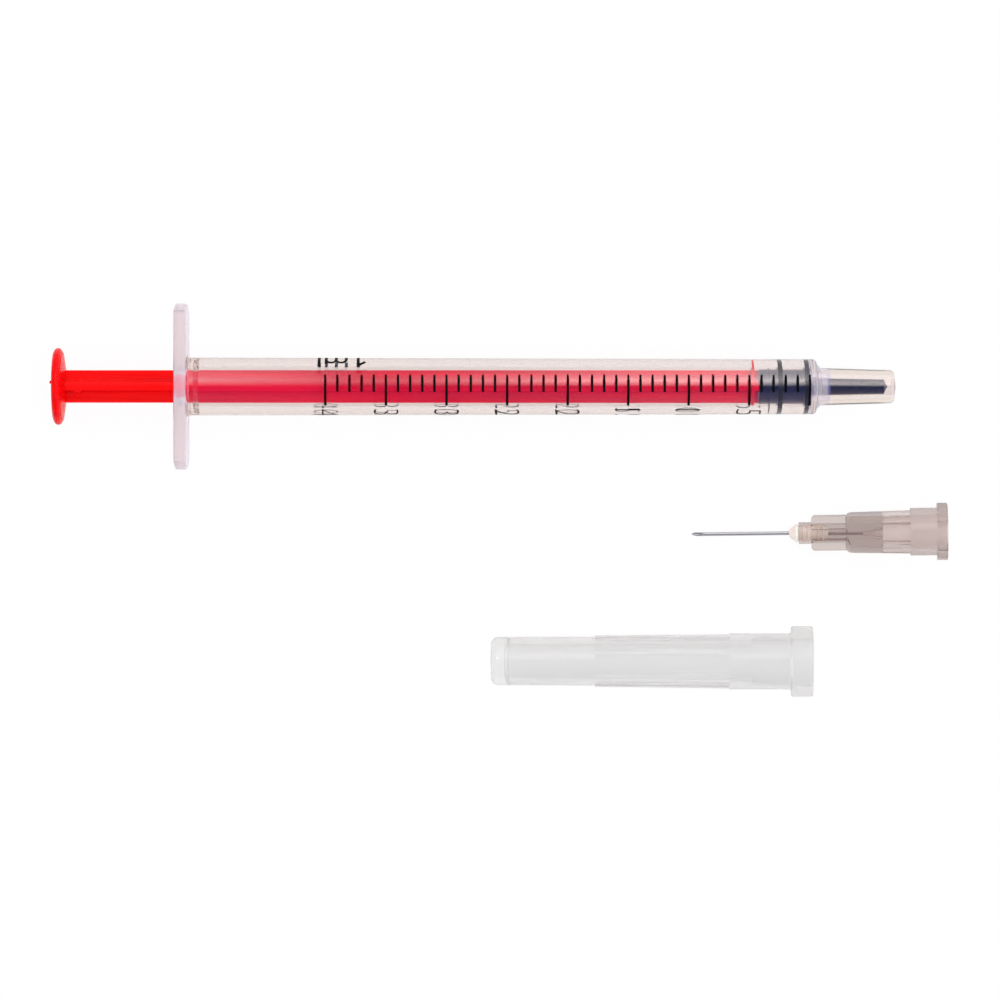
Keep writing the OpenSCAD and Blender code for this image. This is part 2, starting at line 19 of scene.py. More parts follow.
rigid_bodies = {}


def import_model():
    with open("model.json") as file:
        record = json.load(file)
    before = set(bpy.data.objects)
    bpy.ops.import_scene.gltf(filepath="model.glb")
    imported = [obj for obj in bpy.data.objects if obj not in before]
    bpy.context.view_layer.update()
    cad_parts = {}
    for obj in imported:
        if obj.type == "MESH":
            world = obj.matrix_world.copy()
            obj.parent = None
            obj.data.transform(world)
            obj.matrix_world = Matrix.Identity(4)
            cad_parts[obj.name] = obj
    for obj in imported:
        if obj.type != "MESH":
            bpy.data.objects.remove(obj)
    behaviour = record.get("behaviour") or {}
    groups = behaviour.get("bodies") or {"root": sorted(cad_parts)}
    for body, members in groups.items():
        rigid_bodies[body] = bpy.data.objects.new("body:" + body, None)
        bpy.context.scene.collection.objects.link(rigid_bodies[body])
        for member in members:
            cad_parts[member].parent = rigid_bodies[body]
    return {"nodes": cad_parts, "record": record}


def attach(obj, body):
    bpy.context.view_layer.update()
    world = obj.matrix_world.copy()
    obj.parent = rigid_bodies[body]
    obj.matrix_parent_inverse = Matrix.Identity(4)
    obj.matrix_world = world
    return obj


LOG = logging.getLogger("insulin_syringe")
MM = 0.001
# Pixels of the picture to the millimetre. Its 1000 pixels show 1 / PIXELS_PER_MM metres.
PIXELS_PER_MM = 8.41
CUBIC_MM_PER_ML = 1000

# Index of refraction of polypropylene
PLASTIC_IOR = 1.49
# Finer layers in the noise of the fine pattern, and values of it that roughness runs between
GRAIN_DETAIL = 3.0
GRAIN_SPAN = (0.3, 0.7)
# Finer layers in the noise of the tone, values that colours run between, and its coarseness
TONE_DETAIL = 2.0
TONE_SPAN = (0.35, 0.65)
TONE_SPREAD = 3


class Slot(Enum):
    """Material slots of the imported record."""

    ROD = "rod_plastic"
    STOPPER = "stopper_rubber"
    GLUE = "adhesive"


class Body(Enum):
    """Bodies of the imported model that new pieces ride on."""

    BARREL = "barrel"
    STOPPER = "stopper"
    PLUNGER = "plunger"
    NEEDLE = "needle"


def linear(colour: str) -> tuple[float, float, float, float]:
    """Turns a written colour to the linear values that shaders take.

    Args:
        colour: sRGB colour as #rrggbb.

    Returns:
        Linear red, green and blue, and an alpha of 1.
    """
    # The curve of sRGB is straight up to its low end, and a power above it
    low_end, slope, lift, power = 0.04045, 12.92, 0.055, 2.4
    parts = [int(colour[i:i + 2], 16) / 255 for i in (1, 3, 5)]
    values = [c / slope if c <= low_end else ((c + lift) / (1 + lift)) ** power for c in parts]
    return (*values, 1.0)


def add(tree: bpy.types.NodeTree, kind: str, settings: dict | None = None,
        links: dict | None = None) -> bpy.types.Node:
    """Adds a node to a tree, sets its values and links its inputs.

    Args:
        tree: Tree that the node goes into.
        kind: Blender's type name of the node.
        settings: Values by the name or number of an input, or by the name of a property.
        links: Output sockets by the name or number of the input that each one feeds.

    Returns:
        The new node.
    """
    made = tree.nodes.new(kind)
    for name, value in (settings or {}).items():
        if isinstance(name, int) or name in made.inputs:
            made.inputs[name].default_value = value
        else:
            setattr(made, name, value)
    for name, source in (links or {}).items():
        tree.links.new(source, made.inputs[name])
    return made


@dataclass(frozen=True)
class Placement:
    """Axis of one item as it lies on the table.

    Attributes:
        start: Point at the item's station zero.
        along: Direction of the axis.
    """

    start: Vector
    along: Vector

    def matrix(self) -> Matrix:
        """Works out how the item lies.

        Returns:
            The matrix that takes (station, side, up) to the frame of the model.
        """
        side = Vector((0, 0, 1)).cross(self.along).normalized()
        up = self.along.cross(side)
        turn = Matrix((self.along, side, up)).transposed().to_4x4()
        return Matrix.Translation(self.start) @ turn


# Finishes


@dataclass(frozen=True, kw_only=True)
class Finish(ABC):
    """What all finishes share: a colour and a fine pattern in the gloss and the relief.

    Attributes:
        name: Name of the material, in a maker's words.
        colour: Colour of the surface as sRGB.
        roughness: Lowest and highest roughness, between which the pattern moves.
        grain_mm: Size of the pattern along and across the item.
        relief_mm: Height of the pattern.
        deep: Deeper tone that the colour drifts to, as sRGB, or none.
    """

    name: str
    colour: str
    roughness: tuple[float, float]
    grain_mm: tuple[float, float]
    relief_mm: float
    deep: str | None = None

    @abstractmethod
    def settings(self) -> dict[str, float]:
        """Returns the values of the main shader that make this kind of material."""

    def material(self) -> bpy.types.Material:
        """Makes the material.

        Returns:
            The material, whose tree is filled.
        """
        made = bpy.data.materials.new(self.name)
        made.use_nodes = True
        made.node_tree.nodes.clear()
        output = add(made.node_tree, "ShaderNodeOutputMaterial")
        self.build(made.node_tree, output)
        return made

    def build(self, tree: bpy.types.NodeTree, output: bpy.types.Node) -> None:
        """Fills the empty tree of the material, up to its output node."""
        tree.links.new(self.surface(tree).outputs["BSDF"], output.inputs["Surface"])

    def grain(self, tree: bpy.types.NodeTree, size_mm: tuple[float, float],
              detail: float) -> bpy.types.NodeSocket:
        """Adds a noise that is stretched along the item.

        Args:
            tree: Tree of the material.
            size_mm: Size of the pattern along and across the item.
            detail: Number of finer layers in the noise.

        Returns:
            The socket of the noise's value, from 0 to 1.
        """
        place = add(tree, "ShaderNodeTexCoord")
        along, across = (1 / (size * MM) for size in size_mm)
        mapped = add(tree, "ShaderNodeMapping", {"Scale": (along, across, across)},
                     {"Vector": place.outputs["Object"]})
        noise = add(tree, "ShaderNodeTexNoise", {"Scale": 1.0, "Detail": detail},
                    {"Vector": mapped.outputs["Vector"]})
        return noise.outputs["Fac"]

    def tones(self, tree: bpy.types.NodeTree) -> bpy.types.NodeSocket:
        """Adds the colour of the surface, which drifts a little towards the deeper tone.

        Args:
            tree: Tree of the material.

        Returns:
            The socket of the colour.
        """
        along, across = (size * TONE_SPREAD for size in self.grain_mm)
        drift = self.grain(tree, (along, across), TONE_DETAIL)
        ramp = add(tree, "ShaderNodeValToRGB", {}, {"Fac": drift})
        ends = zip(ramp.color_ramp.elements, TONE_SPAN, (self.deep, self.colour))
        for stop, place, colour in ends:
            stop.position = place
            stop.color = linear(colour)
        return ramp.outputs["Color"]

    def surface(self, tree: bpy.types.NodeTree) -> bpy.types.Node:
        """Adds the main shader with the colour, the uneven gloss and the relief of the finish.

        Args:
            tree: Tree of the material.

        Returns:
            The shader node.
        """
        pattern = self.grain(tree, self.grain_mm, GRAIN_DETAIL)
        gloss = add(tree, "ShaderNodeMapRange", {
            "From Min": GRAIN_SPAN[0], "From Max": GRAIN_SPAN[1],
            "To Min": self.roughness[0], "To Max": self.roughness[1]}, {"Value": pattern})
        relief = add(tree, "ShaderNodeBump", {"Strength": 1.0, "Distance": self.relief_mm * MM},
                     {"Height": pattern})
        links = {"Roughness": gloss.outputs["Result"], "Normal": relief.outputs["Normal"]}
        if self.deep:
            links["Base Color"] = self.tones(tree)
        values = {"Base Color": linear(self.colour)} | self.settings()
        return add(tree, "ShaderNodeBsdfPrincipled", values, links)


@dataclass(frozen=True, kw_only=True)
class ClearPlastic(Finish):
    """Moulded polypropylene that light passes.

    It bends light as a solid body does. Its crystals scatter a share of the light as a milky
    veil. Light from lamps passes it straight, so that what lies inside is lit.

    Attributes:
        veil: Colour of the veil as sRGB.
        veil_share: Share of the light that the veil takes at each face.
        shade: Colour that lamps' light keeps at each face, as sRGB.
        tint: Colour of the light that passes a deep body, as sRGB.
        depth_mm: Depth at which the plastic has taken most of what it takes, or none if 0.
    """

    veil: str
    veil_share: float
    shade: str
    tint: str = "#ffffff"
    depth_mm: float = 0.0

    def settings(self) -> dict[str, float]:
        """Returns the values of the main shader that make it bend and pass light."""
        return {"Transmission Weight": 1.0, "IOR": PLASTIC_IOR}

    def build(self, tree: bpy.types.NodeTree, output: bpy.types.Node) -> None:
        """Fills the tree with the clear shader, the veil, the way for lamps and the tint by depth.

        Args:
            tree: Empty tree of the material.
            output: Output node of the tree.
        """
        plastic = self.lined(tree, self.veiled(tree, self.surface(tree)))
        path = add(tree, "ShaderNodeLightPath")
        lit = add(tree, "ShaderNodeMath", {"operation": "MAXIMUM"},
                  {0: path.outputs["Is Shadow Ray"], 1: path.outputs["Is Diffuse Ray"]})
        way = add(tree, "ShaderNodeBsdfTransparent", {"Color": linear(self.shade)})
        mixed = add(tree, "ShaderNodeMixShader", {}, {
            0: lit.outputs[0], 1: plastic.outputs["Shader"], 2: way.outputs["BSDF"]})
        tree.links.new(mixed.outputs["Shader"], output.inputs["Surface"])
        if self.depth_mm:
            body = add(tree, "ShaderNodeVolumeAbsorption",
                       {"Color": linear(self.tint), "Density": 1 / (self.depth_mm * MM)})
            tree.links.new(body.outputs["Volume"], output.inputs["Volume"])

    def veiled(self, tree: bpy.types.NodeTree, clear: bpy.types.Node) -> bpy.types.Node:
        """Mixes the veil into the clear shader.

        Args:
            tree: Tree of the material.
            clear: The clear shader.

        Returns:
            The mixed shader.
        """
        milk = add(tree, "ShaderNodeBsdfDiffuse", {"Color": linear(self.veil)})
        return add(tree, "ShaderNodeMixShader", {0: self.veil_share},
                   {1: clear.outputs["BSDF"], 2: milk.outputs["BSDF"]})

    def lined(self, tree: bpy.types.NodeTree, shader: bpy.types.Node) -> bpy.types.Node:
        """Returns the shader with what lines the plastic, which is nothing on most pieces."""
        return shader


@dataclass(frozen=True, kw_only=True)
class BarrelPlastic(ClearPlastic):
    """Clear plastic with a siliconised bore and with parts that are thick to look through.

    Attributes:
        place: Placement of the syringe, whose axis the bore and the flange lie about.
        film_r_mm: Radii below which a face belongs to the bore, and to the nozzle passage.
        bore_end_mm: Station of the end of the bore.
        fade_mm: Distance over which the bore passes over to the passage.
        film_share: Share of the light that the silicone film on the bore sends back.
        film_rough: Roughness of that film.
        film_haze: Colour of its haze as sRGB.
        haze_share: Share of the light that the haze takes.
        passage_share: Share of film and haze that the nozzle passage has.
        thick_veil: Colour of the veil where the plastic is thick, as sRGB.
        thick_share: Share of the light that the veil takes there.
        wing_r_mm: Radii between which the barrel passes over to the wings of the flange.
        front_mm: Station of the end wall in front.
        front_reach_mm: Distances from there between which the end wall passes over to the rest.
        front_share: Share of the thick veil in the end wall.
    """

    place: Placement
    film_r_mm: tuple[float, float] = (2.45, 1.35)
    bore_end_mm: float = 75.5
    fade_mm: float = 0.1
    film_share: float = 0.095
    film_rough: float = 0.08
    film_haze: str = "#004cd0"
    haze_share: float = 0.044
    passage_share: float = 0.4
    thick_veil: str = "#dedcee"
    thick_share: float = 0.4
    wing_r_mm: tuple[float, float] = (3.5, 4.4)
    front_mm: float = 76.6
    front_reach_mm: tuple[float, float] = (0.8, 1.4)
    front_share: float = 0.6

    def spot(self, tree: bpy.types.NodeTree) -> bpy.types.Node:
        """Adds the point that is shaded, as station, side and height in millimetres.

        Args:
            tree: Tree of the material.

        Returns:
            The node whose outputs are the three.
        """
        where = add(tree, "ShaderNodeTexCoord")
        flat = self.place.matrix().inverted()
        mapped = add(tree, "ShaderNodeMapping", {
            "Location": flat.translation / MM, "Rotation": flat.to_euler(), "Scale": (1 / MM,) * 3},
            {"Vector": where.outputs["Object"]})
        return add(tree, "ShaderNodeSeparateXYZ", {}, {"Vector": mapped.outputs["Vector"]})

    def radius(self, tree: bpy.types.NodeTree) -> bpy.types.NodeSocket:
        """Adds the distance from the axis of the syringe, in millimetres.

        Args:
            tree: Tree of the material.

        Returns:
            The socket of the distance.
        """
        parts = self.spot(tree)
        across = add(tree, "ShaderNodeCombineXYZ", {},
                     {"Y": parts.outputs["Y"], "Z": parts.outputs["Z"]})
        length = add(tree, "ShaderNodeVectorMath", {"operation": "LENGTH"},
                     {0: across.outputs["Vector"]})
        return length.outputs["Value"]

    def past_bore(self, tree: bpy.types.NodeTree, before: float,
                  after: float) -> bpy.types.NodeSocket:
        """Adds a value that changes at the end of the bore.

        Args:
            tree: Tree of the material.
            before: Value along the bore.
            after: Value along the nozzle passage.

        Returns:
            The socket of the value.
        """
        step = add(tree, "ShaderNodeMapRange", {
            "From Min": self.bore_end_mm, "From Max": self.bore_end_mm + self.fade_mm,
            "To Min": before, "To Max": after}, {"Value": self.spot(tree).outputs["X"]})
        return step.outputs["Result"]

    def thickness(self, tree: bpy.types.NodeTree) -> bpy.types.NodeSocket:
        """Adds how thick the plastic is to look through, from 0 in the wall to 1 in the wings.

        Args:
            tree: Tree of the material.

        Returns:
            The socket of the value.
        """
        wing = add(tree, "ShaderNodeMapRange", {
            "From Min": self.wing_r_mm[0], "From Max": self.wing_r_mm[1]},
            {"Value": self.radius(tree)})
        away = add(tree, "ShaderNodeMath", {"operation": "SUBTRACT", 1: self.front_mm},
                   {0: self.spot(tree).outputs["X"]})
        apart = add(tree, "ShaderNodeMath", {"operation": "ABSOLUTE"}, {0: away.outputs[0]})
        near, far = self.front_reach_mm
        front = add(tree, "ShaderNodeMapRange", {
            "From Min": far, "From Max": near, "To Max": self.front_share},
            {"Value": apart.outputs[0]})
        thick = add(tree, "ShaderNodeMath", {"operation": "MAXIMUM"},
                    {0: wing.outputs["Result"], 1: front.outputs["Result"]})
        return thick.outputs[0]

    def veiled(self, tree: bpy.types.NodeTree, clear: bpy.types.Node) -> bpy.types.Node:
        """Mixes the veil into the clear shader, denser and whiter where the plastic is thick.

        Args:
            tree: Tree of the material.
            clear: The clear shader.

        Returns:
            The mixed shader.
        """
        thick = self.thickness(tree)
        whiter = add(tree, "ShaderNodeMath", {
            "operation": "MULTIPLY", "use_clamp": True, 1: 1 / self.front_share}, {0: thick})
        tone = add(tree, "ShaderNodeMix", {
            "data_type": "RGBA", 6: linear(self.veil), 7: linear(self.thick_veil)},
            {0: whiter.outputs[0]})
        share = add(tree, "ShaderNodeMapRange", {
            "To Min": self.veil_share, "To Max": self.thick_share}, {"Value": thick})
        milk = add(tree, "ShaderNodeBsdfDiffuse", {}, {"Color": tone.outputs[2]})
        return add(tree, "ShaderNodeMixShader", {}, {
            0: share.outputs["Result"], 1: clear.outputs["BSDF"], 2: milk.outputs["BSDF"]})

    def lined(self, tree: bpy.types.NodeTree, shader: bpy.types.Node) -> bpy.types.Node:
        """Adds the film of silicone oil on the bore and its bluish haze.

        Args:
            tree: Tree of the material.
            shader: Shader of the plastic.

        Returns:
            The shader of the plastic with the film.
        """
        film = add(tree, "ShaderNodeBsdfGlossy", {"Roughness": self.film_rough})
        haze = add(tree, "ShaderNodeBsdfDiffuse", {"Color": linear(self.film_haze)})
        inside = add(tree, "ShaderNodeMath", {"operation": "LESS_THAN"},
                     {0: self.radius(tree), 1: self.past_bore(tree, *self.film_r_mm)})
        lining = add(tree, "ShaderNodeMath", {"operation": "MULTIPLY"},
                     {0: inside.outputs[0], 1: self.past_bore(tree, 1.0, self.passage_share)})
        for layer, amount in ((haze, self.haze_share), (film, self.film_share)):
            share = add(tree, "ShaderNodeMath", {"operation": "MULTIPLY", 1: amount},
                        {0: lining.outputs[0]})
            shader = add(tree, "ShaderNodeMixShader", {}, {
                0: share.outputs[0], 1: shader.outputs["Shader"], 2: layer.outputs["BSDF"]})
        return shader


@dataclass(frozen=True, kw_only=True)
class SolidPlastic(Finish):
    """Plastic, adhesive or ink that covers what lies behind it.

    Attributes:
        skin_mm: Depth that light reaches.
        share: Share of the light that goes in and leaves again.
        shine: Strength of the reflection, where 0.5 is that of a clean dielectric.
    """

    skin_mm: float = 0.3
    share: float = 0.0
    shine: float = 0.5

    def settings(self) -> dict[str, float]:
        """Returns the values of the main shader for its shine and the light that goes in."""
        return {"IOR": PLASTIC_IOR, "Subsurface Weight": self.share,
                "Subsurface Scale": self.skin_mm * MM, "Specular IOR Level": self.shine}


@dataclass(frozen=True, kw_only=True)
class Rubber(Finish):
    """Vulcanised rubber under a film of silicone oil.

    Attributes:
        ior: Index of refraction.
        film: Share of the surface that the oil covers.
        film_rough: Roughness of the oil.
    """

    ior: float = 1.52
    film: float = 0.5
    film_rough: float = 0.15

    def settings(self) -> dict[str, float]:
        """Returns the values of the main shader for the rubber and its oil."""
        return {"IOR": self.ior, "Coat Weight": self.film, "Coat Roughness": self.film_rough}


@dataclass(frozen=True, kw_only=True)
class Steel(Finish):
    """Stainless steel tube, drawn lengthwise and ground at its point."""

    def settings(self) -> dict[str, float]:
        """Returns the value of the main shader that makes it a metal."""
        return {"Metallic": 1.0}


# Frosted moulded polypropylene. The eye gets a cloudy grey white that lets forms behind it
# through but not their edges. Its flow lines are some hundredths of a millimetre apart on the
# real cap, and are drawn coarser, so that they show.
CAP_FINISH = ClearPlastic(
    name="frosted_polypropylene", colour="#f7f8f8", roughness=(0.08, 0.14),
    grain_mm=(400.0, 0.5), relief_mm=0.0003, veil="#d2d2d0", veil_share=0.28, shade="#fafafa")
# Polypropylene tinted in the brown of its needle gauge. The eye gets a smoky, slightly rosy
# grey, pale in the thin socket and dark in the solid middle. Flow lines drawn coarser.
HUB_FINISH = ClearPlastic(
    name="brown_tinted_polypropylene", colour="#fbf8f6", roughness=(0.1, 0.2),
    grain_mm=(60.0, 0.4), relief_mm=0.0003, veil="#c4aca8", veil_share=0.13, shade="#f8f2ef",
    tint="#b09c94", depth_mm=3.4)
# Opaque red moulded plastic. The eye gets a full, slightly uneven red with streaks of gloss
# along the ribs, where the melt ran. The real streaks are about half as wide as these.
ROD_FINISH = SolidPlastic(
    name="red_moulded_plastic", colour="#f20004", deep="#dc0004", roughness=(0.12, 0.5),
    grain_mm=(9.0, 0.2), relief_mm=0.0008, shine=0.12)
# Cured adhesive. The eye gets a soft cream that glows a little where light goes in.
GLUE_FINISH = SolidPlastic(
    name="cured_adhesive", colour="#efebe5", deep="#e2dbd2", roughness=(0.3, 0.5),
    grain_mm=(0.5, 0.4), relief_mm=0.006, skin_mm=0.5, share=0.3)
# Screen printing ink. The eye gets a dull black that shows hardly any light. The grain of the
# screen is about 0.1 mm, and is drawn twice as coarse.
INK_FINISH = SolidPlastic(
    name="black_printing_ink", colour="#060405", deep="#0c080a", roughness=(0.45, 0.6),
    grain_mm=(0.2, 0.2), relief_mm=0.002, shine=0.06)
# Siliconised rubber. The eye gets a near black with a blue cast and the wet look of its oil.
STOPPER_FINISH = Rubber(
    name="siliconised_rubber", colour="#121a26", roughness=(0.3, 0.4), grain_mm=(0.6, 0.3),
    relief_mm=0.002)
# Drawn stainless steel. The eye gets a cool grey that is brushed along the tube. The lines of
# the drawing die are some micrometres wide, and are drawn 0.03 mm wide.
TUBE_FINISH = Steel(
    name="drawn_stainless_steel", colour="#c8c8cc", roughness=(0.4, 0.5), grain_mm=(4.0, 0.03),
    relief_mm=0.0004)


def barrel_finish(place: Placement) -> BarrelPlastic:
    """Makes the finish of the barrel, whose bore and flange lie about the syringe's axis.

    Clear moulded polypropylene. The eye gets an almost colourless wall, warm where it looks
    along the plastic, a milky lilac in the flange and the end wall, and a bright band of sheen
    with a dark one beside it in the oiled bore. Its flow lines are drawn coarser than they are.

    Args:
        place: Placement of the syringe.

    Returns:
        The finish.
    """
    return BarrelPlastic(
        name="clear_polypropylene", colour="#fef7f4", roughness=(0.02, 0.05),
        grain_mm=(200.0, 0.6), relief_mm=0.0002, veil="#3c48e8", veil_share=0.01,
        shade="#fffdfd", tint="#e2ccac", depth_mm=8.0, place=place)


def dress(target: bpy.types.Object, material: bpy.types.Material) -> None:
    """Gives a piece one material all over."""
    target.data.materials.clear()
    target.data.materials.append(material)


def settle(piece: bpy.types.Object, body: Body, material: bpy.types.Material) -> None:
    """Dresses a new piece and ties it to its body.

    Args:
        piece: The new piece, whose place is in its mesh.
        body: Body that it rides on.
        material: Its material.
    """
    dress(piece, material)
    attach(piece, body.value)


def linked_object(name: str, data: bpy.types.ID) -> bpy.types.Object:
    """Makes an object in the scene.

    Args:
        name: Name of the object.
        data: Its mesh, text, light or camera.

    Returns:
        The object.
    """
    made = bpy.data.objects.new(name, data)
    bpy.context.scene.collection.objects.link(made)
    return made


def object_of(name: str, shape: bmesh.types.BMesh) -> bpy.types.Object:
    """Makes an object of an edited mesh and frees that mesh.

    Args:
        name: Name of the object.
        shape: The edited mesh.

    Returns:
        The object.
    """
    mesh = bpy.data.meshes.new(name)
    shape.to_mesh(mesh)
    shape.free()
    return linked_object(name, mesh)


def evaluated_mesh(carrier: bpy.types.Object) -> bpy.types.Mesh:
    """Turns what a carrier shows into a plain mesh and drops the carrier.

    Args:
        carrier: Object with modifiers, or a text.

    Returns:
        The mesh.
    """
    bpy.context.view_layer.update()
    shown = carrier.evaluated_get(bpy.context.evaluated_depsgraph_get())
    mesh = bpy.data.meshes.new_from_object(shown)
    bpy.data.objects.remove(carrier)
    return mesh


def plain_mesh(carrier: bpy.types.Object, name: str) -> bpy.types.Object:
    """Turns what a carrier's modifiers make into a plain mesh piece and drops the carrier.

    Args:
        carrier: Object whose modifiers make the piece.
        name: Name of the piece.

    Returns:
        The new piece.
    """
    mesh = evaluated_mesh(carrier)
    mesh.name = name
    return linked_object(name, mesh)


def turned_ring(name: str, profile: list[tuple[float, float]], place: Placement,
                spread: tuple[float, float], steps: int) -> bpy.types.Object:
    """Turns a closed profile about an item's axis, all round or over a stretch.

    Args:
        name: Name of the piece.
        profile: Corners as (station, radius) in millimetres.
        place: Placement of the item.
        spread: First and last angle in degrees, from the side of the item upwards.
        steps: Number of steps between the two angles.

    Returns:
        The new piece, closed at its ends if it doesn't go all round.
    """
    first, last = map(math.radians, spread)
    whole = math.isclose(abs(last - first), math.tau)
    shape = bmesh.new()
    rows = []
    for i in range(steps if whole else steps + 1):
        angle = first + (last - first) * i / steps
        rows.append([shape.verts.new((x * MM, r * math.cos(angle) * MM, r * math.sin(angle) * MM))
                     for x, r in profile])
    pairs = zip(rows, rows[1:] + rows[:1]) if whole else zip(rows, rows[1:])
    for near, far in pairs:
        for i in range(len(profile)):
            shape.faces.new((near[i - 1], near[i], far[i], far[i - 1]))
    if not whole:
        shape.faces.new(rows[0])
        shape.faces.new(rows[-1])
    bmesh.ops.recalc_face_normals(shape, faces=shape.faces)
    shape.transform(place.matrix())
    return object_of(name, shape)


# Geometry Nodes


def new_tree(name: str, inputs: dict[str, tuple[str, object]]) -> bpy.types.NodeTree:
    """Makes a geometry tree with named inputs, a geometry input and a geometry output.

    Args:
        name: Name of the tree.
        inputs: Socket type and default value by the name of each input.

    Returns:
        The tree.
    """
    tree = bpy.data.node_groups.new(name, "GeometryNodeTree")
    tree.interface.new_socket("Geometry", in_out="INPUT", socket_type="NodeSocketGeometry")
    tree.interface.new_socket("Geometry", in_out="OUTPUT", socket_type="NodeSocketGeometry")
    for label, (kind, value) in inputs.items():
        tree.interface.new_socket(label, in_out="INPUT", socket_type=kind).default_value = value
    return tree


def run_tree(carrier: bpy.types.Object, tree: bpy.types.NodeTree,
             values: dict[str, object]) -> None:
    """Puts a geometry tree on an object and sets its inputs.

    Args:
        carrier: Object that gets the tree as a modifier.
        tree: The tree.
        values: Values by the name of each input.
    """
    modifier = carrier.modifiers.new(tree.name, "NODES")
    modifier.node_group = tree
    for item in tree.interface.items_tree:
        if item.item_type == "SOCKET" and item.in_out == "INPUT" and item.name in values:
            modifier[item.identifier] = values[item.name]


@dataclass
class BarrelWrap:
    """Geometry tree that lays a flat print on the tapered barrel.

    In the flat print X is the station along the barrel, and Y is the way round it, from its
    top line towards its side. Sizes are in millimetres.

    Attributes:
        rear_r: Radius of the barrel at its finger flange.
        front_r: Radius of the barrel at its front end.
        length: Length between the two.
        bite: Depth to which the ink wets the plastic.
        film: Thickness of the ink, with that depth.
        weld: Distance below which two points of the ink are one.
    """

    rear_r: float = 3.45
    front_r: float = 3.29
    length: float = 76.3
    bite: float = 0.01
    film: float = 0.022
    weld: float = 0.00022

    def tree(self, material: bpy.types.Material) -> bpy.types.NodeTree:
        """Makes the tree.

        Args:
            material: Material of the ink.

        Returns:
            The tree, which other trees can hold as a group.
        """
        lengths = {"Rear Radius": self.rear_r, "Front Radius": self.front_r, "Length": self.length,
                   "Bite": self.bite, "Film": self.film}
        made = new_tree("wrap_on_barrel", {
            label: ("NodeSocketFloat", value * MM) for label, value in lengths.items()})
        given = add(made, "NodeGroupInput")
        spot = add(made, "GeometryNodeInputPosition")
        flat = add(made, "ShaderNodeSeparateXYZ", {}, {"Vector": spot.outputs["Position"]})
        radius = add(made, "ShaderNodeMapRange", {"clamp": False, "From Min": 0.0}, {
            "Value": flat.outputs["X"], "From Max": given.outputs["Length"],
            "To Min": given.outputs["Rear Radius"], "To Max": given.outputs["Front Radius"]})
        angle = add(made, "ShaderNodeMath", {"operation": "DIVIDE"},
                    {0: flat.outputs["Y"], 1: radius.outputs["Result"]})
        low = add(made, "ShaderNodeMath", {"operation": "SUBTRACT"},
                  {0: radius.outputs["Result"], 1: given.outputs["Bite"]})
        places = {"X": flat.outputs["X"]}
        for axis, wave in (("Y", "SINE"), ("Z", "COSINE")):
            share = add(made, "ShaderNodeMath", {"operation": wave}, {0: angle.outputs[0]})
            places[axis] = add(made, "ShaderNodeMath", {"operation": "MULTIPLY"},
                               {0: share.outputs[0], 1: low.outputs[0]}).outputs[0]
        round_spot = add(made, "ShaderNodeCombineXYZ", {}, places)
        laid = add(made, "GeometryNodeSetPosition", {}, {
            "Geometry": given.outputs["Geometry"], "Position": round_spot.outputs["Vector"]})
        outwards = add(made, "GeometryNodeInputNormal")
        lifted = add(made, "GeometryNodeExtrudeMesh", {"Individual": False}, {
            "Mesh": laid.outputs["Geometry"], "Offset": outwards.outputs["Normal"],
            "Offset Scale": given.outputs["Film"]})
        under = add(made, "GeometryNodeFlipFaces", {}, {"Mesh": laid.outputs["Geometry"]})
        joined = add(made, "GeometryNodeJoinGeometry", {}, {"Geometry": lifted.outputs["Mesh"]})
        made.links.new(under.outputs["Mesh"], joined.inputs["Geometry"])
        closed = add(made, "GeometryNodeMergeByDistance", {"Distance": self.weld * MM},
                     {"Geometry": joined.outputs["Geometry"]})
        real = add(made, "GeometryNodeRealizeInstances", {},
                   {"Geometry": closed.outputs["Geometry"]})
        inked = add(made, "GeometryNodeSetMaterial", {"Material": material},
                    {"Geometry": real.outputs["Geometry"]})
        add(made, "NodeGroupOutput", {}, {"Geometry": inked.outputs["Geometry"]})
        return made


